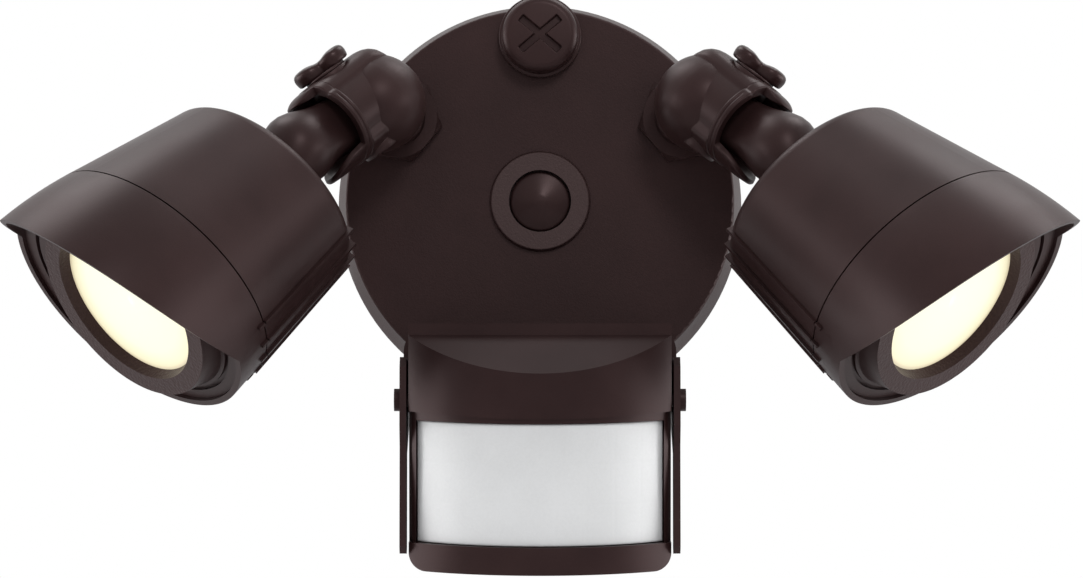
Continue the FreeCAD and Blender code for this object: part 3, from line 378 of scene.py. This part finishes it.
for name, node in cadNodes.items():
    side = name.split("_")[0]
    plain = name[len(side) + 1:] if side in ("right", "left") else name
    if plain == "lamp_bezel":
        finish = bezelFinish[side]
    elif plain == "lamp_lens":
        finish = lensFinish[side]
    else:
        finish = finishes[plain]
    node.data.materials.clear()
    node.data.materials.append(finish)
print("finishes given:", len(cadNodes))

# wing knobs

wingKnob = {
    "seat": 17.4,          # from the ball's centre along the clamp screw
    "pivot": 9.5,          # from the ball's centre along the arm
    "turn": 34.6,          # degrees from the arm's line
    "halfLength": 9.2,
    "waist": 3.7,
    # hollow over the waist, as a share of the height
    "dip": 0.20, "dipReach": 3.0, "dipHeights": (2.0, 5.0),
    "baseRadius": 6.9,
    # share of the outline, and height above the seat
    "skin": [(0.60, 0.70), (0.90, 0.78), (0.96, 1.1), (0.985, 1.8), (1.0, 2.9), (0.995, 3.7), (0.97, 4.4),
             (0.92, 4.95), (0.84, 5.32), (0.72, 5.52), (0.56, 5.6), (0.36, 5.6), (0.16, 5.58)],
}


def knobParts():
    k = wingKnob
    turn = math.radians(k["turn"])
    lobeLine = alongArm * math.cos(turn) - nearSide * math.sin(turn)
    sideLine = screwLine.cross(lobeLine)
    foot = armLine["ball"] + (screwLine * k["seat"] + alongArm * k["pivot"]) * mm
    rings = []
    for scale, height in k["skin"]:
        ring = []
        for j in range(128):
            a = 2 * math.pi * j / 128
            reach = math.hypot(k["halfLength"] * math.cos(a), k["waist"] * math.sin(a)) * scale
            middle = math.exp(-(reach * math.cos(a) / k["dipReach"]) ** 2)
            dip = 1 - k["dip"] * middle * smoothStep(*k["dipHeights"], height)
            ring.append(foot + (lobeLine * reach * math.cos(a) + sideLine * reach * math.sin(a)
                                + screwLine * height * dip) * mm)
        rings.append(ring)
    r = k["baseRadius"]
    base = [(r - 0.5, 0.0), (r - 0.15, 0.06), (r, 0.3), (r, 0.7), (r - 0.15, 0.93), (r - 0.5, 1.0)]
    return joined(loft(rings), turnedPart(foot, screwLine, base, 96))


addPair("wingKnob", knobParts(), bronzePlastic, "knob", "wing_knob")
print("wing knobs made")

# elbows: threaded stem, neck, ball, and the clamp cup with its strap, lip and two tabs

elbow = {
    "hole": Vector((44.6, -16.5, 25.75)),      # on the canopy's face
    "stemRadius": 8.0, "stemBack": 9.0, "stemFront": 5.2, "bore": 4.5, "boreEnd": 0.5,
    "threadPitch": 0.8, "threadDepth": 0.35,
    "neckRadius": 9.0, "neckWaist": 0.5,
    "ball": Vector((50.3, -38.0, 28.1)), "ballRadius": 15.2, "seam": 0.06,
    "seatRadius": 7.3, "seatTop": 17.42,       # under the wing knob
    "bossRadius": 5.8, "bossReach": 11.75, "bossHole": 4.75,      # round the clamp nut
    "cup": {
        "middle": 3.5,         # along the clamp screw from the arm's line
        "radius": 12.4, "lowRadius": 14.1, "lowFrom": 122, "lowFull": 142,      # degrees from the strap
        "inside": 11.7, "floor": 2.4, "domeReach": 11.0,
        "strapMiddle": 7.35, "strapHigh": 10.1, "strapWide": 9.9, "strapPower": 3.2, "strapSpread": 46.0,
        "lipRadius": 14.1, "lipFrom": 16.3, "lipTo": 19.4,
        "bead": 0.5, "beadWide": 0.72, "beads": (17.25, 18.7),
        "beadFrom": (52, 64), "beadTo": (140, 152),      # degrees from the strap
        "evenMiddle": 17.95, "evenReach": 1.5,           # of the lip where it has no beads
        "upperTab": 26.6, "upperSpread": 30.0, "upperLean": 8.0, "upperBend": 1.7,
        "lowerTab": 31.5, "lowerSpread": 44.0, "lowerBend": 0.4, "tabRoot": 0.3,
        "domeRows": (-10.9, -10.3, -9.4, -8.2, -6.6, -5.0, -3.4, -1.8),
        "bodyRows": (0.0, 3.0, 6.0, 9.0, 12.0, 14.5, 15.9),
        "stepRows": ((16.2, 0.0), (16.35, 0.35), (16.5, 0.8), (16.6, 1.0)),      # place, share of the lip
        "tabRows": (0.0, 0.04, 0.12, 0.25, 0.4, 0.55, 0.7, 0.82, 0.91, 0.97),    # shares of a tab's length
        "insideRows": (17.0, 13.0, 9.0, 5.0, 3.2),
    },
}


def strapReach(angle):
    # distance from the cup's middle to the strap's outline, by halving
    c = elbow["cup"]
    low, high = 4.0, 22.0
    for _ in range(40):
        r = (low + high) / 2
        up = abs(r * math.cos(angle) - (c["strapMiddle"] - c["middle"])) / c["strapHigh"]
        side = abs(r * math.sin(angle)) / c["strapWide"]
        if up ** c["strapPower"] + side ** c["strapPower"] < 1:
            low = r
        else:
            high = r
    return low


def cupSkin():
    # rings from the dome in the ball to the tabs' ends, and back inside to the cup's floor
    c = elbow["cup"]
    rings = []
    turns = [2 * math.pi * j / 192 for j in range(192)]
    strap, strapped, body, lip, beaded, reach = [], [], [], [], [], []
    root = c["lipTo"] + c["tabRoot"]      # of the tabs
    for a in turns:
        fromStrap = math.degrees(a) - 360.0 * (a > math.pi)
        deg = abs(fromStrap)
        share = 1 - smoothStep(c["strapSpread"] - 3, c["strapSpread"] + 4, deg)
        top = strapReach(a) if share else 0.0
        plain = c["radius"] + (c["lowRadius"] - c["radius"]) * smoothStep(c["lowFrom"], c["lowFull"], deg)
        strap.append(top)
        strapped.append(share)
        body.append(top * share + plain * (1 - share))
        lip.append((top + 0.3) * share + c["lipRadius"] * (1 - share))
        beaded.append(smoothStep(*c["beadFrom"], deg) * (1 - smoothStep(*c["beadTo"], deg)))
        upper = halfRound(fromStrap + c["upperLean"], c["upperSpread"]) * (c["upperTab"] - root)
        lower = halfRound(180 - deg, c["lowerSpread"]) * (c["lowerTab"] - root)
        reach.append(root + max(upper, lower))

    def row(along, radius):
        ring = []
        for j, a in enumerate(turns):
            r = radius(j)
            ring.append(armPoint(along(j), c["middle"] + r * math.cos(a), r * math.sin(a)))
        rings.append(ring)

    def at(place):
        return lambda j: place

    def tabAt(t):
        return lambda j: c["lipTo"] + t * (reach[j] - c["lipTo"])

    def tabSkin(j, t):
        # the tabs bend in toward their ends
        onStrap = strap[j] + 0.1 - c["upperBend"] * t ** 3
        low = c["lowRadius"] - 0.35 - c["lowerBend"] * t ** 4
        return onStrap * strapped[j] + low * (1 - strapped[j])

    for z in c["domeRows"]:
        full = math.sqrt(1 - (-z / c["domeReach"]) ** 2.5)
        row(at(z), lambda j: body[j] * full)
    for z in c["bodyRows"]:
        row(at(z), lambda j: body[j])
    for z, share in c["stepRows"]:
        row(at(z), lambda j: body[j] * (1 - share) + (lip[j] - c["bead"]) * share)
    lipStart = c["lipFrom"] + 0.3
    for i in range(1, 25):
        z = lipStart + (c["lipTo"] - lipStart) * i / 25
        swell = max(halfRound(z - bead, c["beadWide"]) for bead in c["beads"])
        even = math.sqrt(max(1 - ((z - c["evenMiddle"]) / c["evenReach"]) ** 8, 0))
        row(at(z), lambda j: lip[j] - c["bead"] + c["bead"] * (swell * beaded[j] + even * (1 - beaded[j])))
    for t in c["tabRows"]:
        row(tabAt(t), lambda j: tabSkin(j, t))
    row(tabAt(1.0), lambda j: tabSkin(j, 1.0) - 0.25)
    row(tabAt(1.0), lambda j: c["inside"] + 0.25)
    for t in (0.97, 0.8, 0.6, 0.4, 0.2, 0.0):
        row(tabAt(t), lambda j: c["inside"])
    for z in c["insideRows"]:
        row(at(z), lambda j: c["inside"])
    row(at(c["floor"] + 0.2), lambda j: c["inside"] - 0.8)
    row(at(c["floor"]), lambda j: 4.0)
    return loft(rings)


def elbowParts():
    e = elbow
    hole = e["hole"] * mm
    back = -e["stemBack"]
    stem = [(e["bore"], -e["boreEnd"]), (e["bore"], back + 0.4), (e["bore"] + 0.4, back),
            (e["stemRadius"] - 1.2, back), (e["stemRadius"] - 0.5, back + 0.1)]
    stem += threadProfile(e["stemRadius"], e["threadDepth"], e["threadPitch"], back + 0.4, -1.6)
    stem += [(e["stemRadius"], -1.2), (e["stemRadius"], e["stemFront"])]
    neck = []
    start = hole + roomward * e["stemFront"] * mm
    end = (e["ball"] + Vector((0, 9.5, 0))) * mm      # inside the ball
    for i in range(9):
        t = i / 8
        radius = ((e["stemRadius"] + 0.9) * (1 - t) + e["neckRadius"] * t
                  - e["neckWaist"] * math.sin(math.pi * t))
        neck.append(circleRing(start.lerp(end, t), Vector((1, 0, 0)), Vector((0, 0, -1)), radius * mm, 96))
    ball = []
    for i in range(49):
        a = math.pi * i / 48
        seam = e["seam"] * math.exp(-((i - 24) / 0.8) ** 2)      # fine moulding line round the ball
        ball.append(((e["ballRadius"] + seam) * math.sin(a), -e["ballRadius"] * math.cos(a)))
    seat = [(e["seatRadius"], 12.0), (e["seatRadius"], e["seatTop"] - 0.25),
            (e["seatRadius"] - 0.08, e["seatTop"] - 0.07), (e["seatRadius"] - 0.25, e["seatTop"])]
    boss = [(e["bossRadius"] + 1.6, 7.0), (e["bossRadius"] + 0.2, e["bossReach"] - 0.5),
            (e["bossRadius"], e["bossReach"] - 0.12), (e["bossRadius"] - 0.2, e["bossReach"]),
            (e["bossHole"], e["bossReach"]), (e["bossHole"] - 0.05, e["bossReach"] - 0.6)]
    pivot = armPoint(wingKnob["pivot"], 0, 0)
    return joined(turnedPart(hole, roomward, stem, 72), loft(neck),
                  turnedPart(e["ball"] * mm, alongArm, ball, 120), turnedPart(pivot, screwLine, seat, 72),
                  turnedPart(pivot, -screwLine, boss, 72), cupSkin())


addPair("elbow", elbowParts(), bronzeSatin, "arm", "elbow")
print("elbows made")

# lamp arms: tongue in the cup, shoulder, flange and threaded stub

lampArm = {
    # along the arm, middle, half width along the screw, half width across, squareness
    "rows": [(1.95, 3.0, 7.9, 0.6, 5), (2.2, 3.0, 8.3, 1.9, 5), (3.0, 3.0, 8.5, 3.8, 5),
             (4.5, 3.0, 8.5, 5.6, 5), (6.5, 3.0, 8.5, 6.9, 5), (9.5, 3.0, 8.5, 7.4, 5),
             (12.0, 3.0, 8.5, 7.1, 4.6), (15.0, 3.0, 8.6, 6.7, 4), (18.0, 3.1, 8.8, 6.5, 3.5),
             (21.0, 3.4, 9.0, 7.0, 3), (24.0, 3.9, 9.3, 8.1, 2.5), (27.0, 4.4, 9.9, 9.4, 2.2),
             (30.0, 4.8, 10.8, 10.6, 2.05), (33.0, 4.9, 11.4, 11.3, 2), (35.5, 4.9, 11.4, 11.4, 2),
             (38.0, 4.7, 11.0, 11.0, 2), (40.5, 4.2, 10.1, 10.1, 2), (42.5, 3.4, 9.1, 9.1, 2),
             (44.5, 2.4, 8.3, 8.3, 2), (46.5, 1.4, 7.8, 7.8, 2), (48.2, 0.8, 7.6, 7.6, 2)],
    "rear": 50.42,         # of the lamp housing, along the arm
    "flange": 10.5, "flangeThick": 2.0,
    "stub": 7.5, "stubLength": 9.0, "threadPitch": 0.9, "threadDepth": 0.4, "bore": 3.2,
}


def rounded(wave, power):
    # sine or cosine of a squared-off circle
    return math.copysign(abs(wave) ** (2 / power), wave)


def lampArmParts():
    m = lampArm
    rings = []
    for along, middle, high, wide, power in m["rows"]:
        ring = []
        for j in range(120):
            a = 2 * math.pi * j / 120
            ring.append(armPoint(along, middle + high * rounded(math.cos(a), power),
                                 wide * rounded(math.sin(a), power)))
        rings.append(ring)
    back, rear, end = m["rear"] - m["flangeThick"], m["rear"], m["rear"] + m["stubLength"]
    stub = [(m["flange"] - 0.6, back), (m["flange"] - 0.1, back + 0.1), (m["flange"], back + 0.4),
            (m["flange"], rear - 0.3), (m["flange"] - 0.3, rear), (m["stub"] - 0.4, rear)]
    stub += threadProfile(m["stub"], m["threadDepth"], m["threadPitch"], rear + 0.4, end - 0.8)
    stub += [(m["stub"] - 0.9, end), (m["bore"], end), (m["bore"], rear + 1.0)]
    return joined(loft(rings), turnedPart(armPoint(0, armLine["lampAxis"], 0), alongArm, stub, 80))


addPair("lampArm", lampArmParts(), bronzeSatin, "lamp", "lamp_arm")
print("lamp arms made")

# closure plug and centre cap

closurePlug = {
    "centre": Vector((0.0, -17.5, 51.5)),      # of the flange's back
    "flange": 12.88, "flangeThick": 1.8,
    "head": 11.8, "headHeight": 7.2, "rounding": 2.6, "crown": 0.35,
    "slotLength": 15.5, "slotWidth": 2.2, "slotDepth": 1.6, "slotAngle": 40.0, "slotEdge": (-0.12, 0.22),
    "shank": 8.0, "shankBore": 6.0, "threadPitch": 0.8, "threadDepth": 0.3, "threadEnd": -8.8,
}


def plugHead():
    p = closurePlug
    top = p["flangeThick"] + p["headHeight"]

    def slotShare(size, place):
        # 1 inside the slot and 0 outside it, with a soft edge
        low, high = p["slotEdge"]
        return 1 - smoothStep(size / 2 + low, size / 2 + high, abs(place))

    def sunk(x, z):
        deepest = 0.0
        for angle in (p["slotAngle"], -p["slotAngle"]):
            a = math.radians(angle)
            wall = slotShare(p["slotWidth"], -x * math.sin(a) + z * math.cos(a))
            end = slotShare(p["slotLength"], x * math.cos(a) + z * math.sin(a))
            deepest = max(deepest, wall * end)
        return deepest * p["slotDepth"]

    profile = [(7.9, 0.0), (p["flange"] - 0.4, 0.0), (p["flange"], 0.35),
               (p["flange"], p["flangeThick"] - 0.4), (p["flange"] - 0.12, p["flangeThick"] - 0.1),
               (p["flange"] - 0.4, p["flangeThick"]), (p["head"] + 0.15, p["flangeThick"]),
               (p["head"], p["flangeThick"] + 0.25)]
    for i in range(13):
        a = math.pi / 2 * i / 12
        profile.append((p["head"] - p["rounding"] * (1 - math.cos(a)),
                        top - p["rounding"] * (1 - math.sin(a)) - p["crown"]))
    flat = p["head"] - p["rounding"]
    for i in range(1, 78):
        r = flat * (1 - i / 78)
        profile.append((r, top - p["crown"] * (r / flat) ** 2))
    rings = []
    for r, along in profile:
        onTop = along > top - p["crown"] - 0.9 and r < flat + 0.8
        ring = []
        for j in range(240):
            a = 2 * math.pi * j / 240
            x, z = r * math.cos(a), r * math.sin(a)
            depth = sunk(x, z) if onTop else 0.0
            ring.append((p["centre"] + roomward * (along - depth) + Vector((x, 0, z))) * mm)
        rings.append(ring)
    return loft(rings)


def plugShank():
    p = closurePlug
    shank = [(p["shankBore"], -2.0), (p["shankBore"], -8.95), (7.4, -8.9)]
    shank += threadProfile(p["shank"], p["threadDepth"], p["threadPitch"], p["threadEnd"], -1.7)
    shank += [(p["shank"], -1.6), (p["shank"], -1.2), (p["shank"], 0.1)]
    return turnedPart(p["centre"] * mm, roomward, shank, 72)


plug = joined(plugHead(), plugShank())
addPiece("closurePlug", plug, bronzeSatin, "base", ["closure_plug"])

centreCap = {
    "back": Vector((0.0, -14.5, 0.0)),
    "radius": 9.3, "side": 2.4, "rise": 2.6, "fullness": 0.10,
    "tipLoss": 0.288,      # off the cone's point, where it is rounded
}


def capDome():
    c = centreCap
    r, side = c["radius"], c["side"]
    profile = [(r - 1.2, 0.0), (r - 0.2, 0.0), (r, 0.2), (r, side - 0.5), (r - 0.04, side - 0.25),
               (r - 0.16, side - 0.05), (r - 0.4, side + 0.08)]
    for i in range(1, 24):
        t = i / 24
        full = c["fullness"] * math.sin(math.pi * t)
        tip = c["tipLoss"] * smoothStep(0.75, 1.0, t)
        profile.append(((r - 0.4) * (1 - t), side + 0.08 + c["rise"] * t + full - tip))
    return turnedPart(c["back"] * mm, roomward, profile, 128)


addPiece("centreCap", capDome(), bronzePlastic, "base", ["centre_cap"])
print("closure plug and centre cap made")

# sensor lens

sensorLens = {
    "pivot": Vector((0.0, -52.0, -63.7)),
    "tilt": 7.0,
    "halfWidth": 37.05, "sideFront": 6.2, "bow": 16.0,
    "low": -42.15, "high": -5.65,
    "thick": 1.2, "rounding": 0.45,
    "columns": 9, "rows": 3, "groove": 0.03,      # facets, and the fine grooves between them
    "edgeSteps": [0.0, 0.04, 0.12, 0.25, 0.45],   # over the rounding
    "across": 181, "tall": 91,                    # mesh lines
    "acrossMargin": 0.0062, "tallMargin": 0.0125,      # shares taken by the rounding
}


def lensSteps(size, count, margin):
    # shares of the lens's width or height, close together over the rounded edges
    edge = sensorLens["edgeSteps"]
    steps = [c / size for c in edge]
    steps += [margin + (1 - 2 * margin) * i / (count - 1) for i in range(1, count - 1)]
    return steps + [1 - c / size for c in reversed(edge)]


def lensSheet():
    s = sensorLens
    lean = math.radians(s["tilt"])
    back = Vector((0, math.cos(lean), math.sin(lean)))
    up = Vector((0, -math.sin(lean), math.cos(lean)))
    width, height = 2 * s["halfWidth"], s["high"] - s["low"]
    arcRadius = (s["halfWidth"] ** 2 + s["bow"] ** 2) / (2 * s["bow"])
    spread = math.asin(s["halfWidth"] / arcRadius)
    arcCentre = -(s["sideFront"] + s["bow"]) + arcRadius

    def at(radius, angle, z):
        x, y = radius * math.sin(angle), arcCentre - radius * math.cos(angle)
        return (s["pivot"] + Vector((x, 0, 0)) + back * y + up * z) * mm

    def grooved(u, v):
        across, down = u * s["columns"], v * s["rows"]
        nearest = min(abs(across - round(across)) / s["columns"] * width,
                      abs(down - round(down)) / s["rows"] * height)
        return s["groove"] * (1 - smoothStep(0.0, 0.5, nearest))

    us = lensSteps(width, s["across"], s["acrossMargin"])
    vs = lensSteps(height, s["tall"], s["tallMargin"])
    points, faces = [], []
    for skin in ("front", "back"):
        for v in vs:
            for u in us:
                edge = min(u * width, (1 - u) * width, v * height, (1 - v) * height)
                over = max(s["rounding"] - edge, 0)
                drop = s["rounding"] - math.sqrt(max(s["rounding"] ** 2 - over ** 2, 0))
                sunk = s["thick"] if skin == "back" else drop + grooved(u, v)
                points.append(at(arcRadius - sunk, (2 * u - 1) * spread, s["low"] + v * height))
    wide, high = len(us), len(vs)
    sheet = wide * high
    for j in range(high - 1):
        for i in range(wide - 1):
            a = j * wide + i
            faces.append((a, a + 1, a + wide + 1, a + wide))
            faces.append((sheet + a, sheet + a + wide, sheet + a + wide + 1, sheet + a + 1))
    rim = list(range(wide)) + [j * wide + wide - 1 for j in range(1, high)]
    rim += [(high - 1) * wide + i for i in range(wide - 2, -1, -1)]
    rim += [j * wide for j in range(high - 2, 0, -1)]
    for a, b in zip(rim, rim[1:] + rim[:1]):
        faces.append((b, a, sheet + a, sheet + b))
    return points, faces


addPiece("sensorLens", lensSheet(), sensorWhite, "sensor_head", ["sensor_lens"])
print("sensor lens made")

# floor, lights and world, in metres

floor = {
    "height": -0.32, "reach": 6.0,
    "dark": (0.80, 0.80, 0.80), "light": (0.84, 0.84, 0.84), "gloss": 0.9,
}
floorMaterial, floorTree, floorShader = newMaterial("paleFloor")
floorGrain = noise(floorTree, objectCoords(floorTree), 220.0, 3.0)
floorTree.links.new(ramp(floorTree, floorGrain, [(0.3, floor["dark"]), (0.7, floor["light"])]),
                    floorShader.inputs["Base Color"])
floorShader.inputs["Roughness"].default_value = floor["gloss"]
bpy.ops.mesh.primitive_circle_add(vertices=96, radius=floor["reach"], fill_type="NGON",
                                  location=(0, 0, floor["height"]))
floorObject = bpy.context.object
floorObject.name = "studioFloor"
floorObject.data.materials.append(floorMaterial)

lightAim = Vector((0, 0, -0.02))
lights = {      # place, width, height, watts
    "leftStrip": ((-1.42, -0.12, -0.08), 1.3, 0.8, 15.0),
    "rightStrip": ((1.42, -0.12, -0.08), 1.3, 0.8, 15.0),
    "topLeft": ((-0.55, 0.32, 1.15), 0.6, 0.6, 5.2),
    "topRight": ((0.55, 0.32, 1.15), 0.6, 0.6, 5.2),
    "frontFill": ((0.42, -1.7, 1.05), 0.45, 0.45, 11.0),
}
for name, (place, width, height, power) in lights.items():
    data = bpy.data.lights.new(name, "AREA")
    data.shape = "RECTANGLE"
    data.size = width
    data.size_y = height
    data.energy = power
    lamp = bpy.data.objects.new(name, data)
    lamp.location = place
    lamp.rotation_euler = (lightAim - Vector(place)).to_track_quat("-Z", "Y").to_euler()
    bpy.context.scene.collection.objects.link(lamp)

# soft light from the world, which is plain white where it is seen or mirrored
sky = {"colour": (0.95, 0.97, 1.0, 1.0), "strength": 0.42}
world = bpy.data.worlds.new("studioWorld")
bpy.context.scene.world = world
world.use_nodes = True
skyTree = world.node_tree
skyRay = addNode(skyTree, "ShaderNodeLightPath")
skyPlain = skyTree.nodes["Background"]
skyPlain.inputs["Color"].default_value = sky["colour"]
skyPlain.inputs["Strength"].default_value = sky["strength"]
skyShown = addNode(skyTree, "ShaderNodeBackground", Color=(1, 1, 1, 1), Strength=1.0)
seen = mathOf(skyTree, "MAXIMUM", skyRay.outputs["Is Camera Ray"], skyRay.outputs["Is Transmission Ray"])
seen = mathOf(skyTree, "MAXIMUM", seen, skyRay.outputs["Is Glossy Ray"])
skyMix = addNode(skyTree, "ShaderNodeMixShader")
skyTree.links.new(seen, skyMix.inputs["Fac"])
skyTree.links.new(skyPlain.outputs[0], skyMix.inputs[1])
skyTree.links.new(skyShown.outputs[0], skyMix.inputs[2])
skyTree.links.new(skyMix.outputs[0], skyTree.nodes["World Output"].inputs["Surface"])
print("floor, lights and world set")

camera = {
    "place": Vector((0.0, -1.29402, -0.12454)),
    "aim": Vector((0.00047, 0.0025, -0.02594)),
    "focal": 136.79,
    "sensor": 36.0,
}
cameraData = bpy.data.cameras.new("photoCamera")
cameraData.lens = camera["focal"]
cameraData.sensor_width = camera["sensor"]
cameraObject = bpy.data.objects.new("photoCamera", cameraData)
cameraObject.location = camera["place"]
cameraObject.rotation_euler = (camera["aim"] - camera["place"]).to_track_quat("-Z", "Y").to_euler()
bpy.context.scene.collection.objects.link(cameraObject)
bpy.context.scene.camera = cameraObject
bpy.context.scene.view_settings.view_transform = "Standard"
print("camera set")
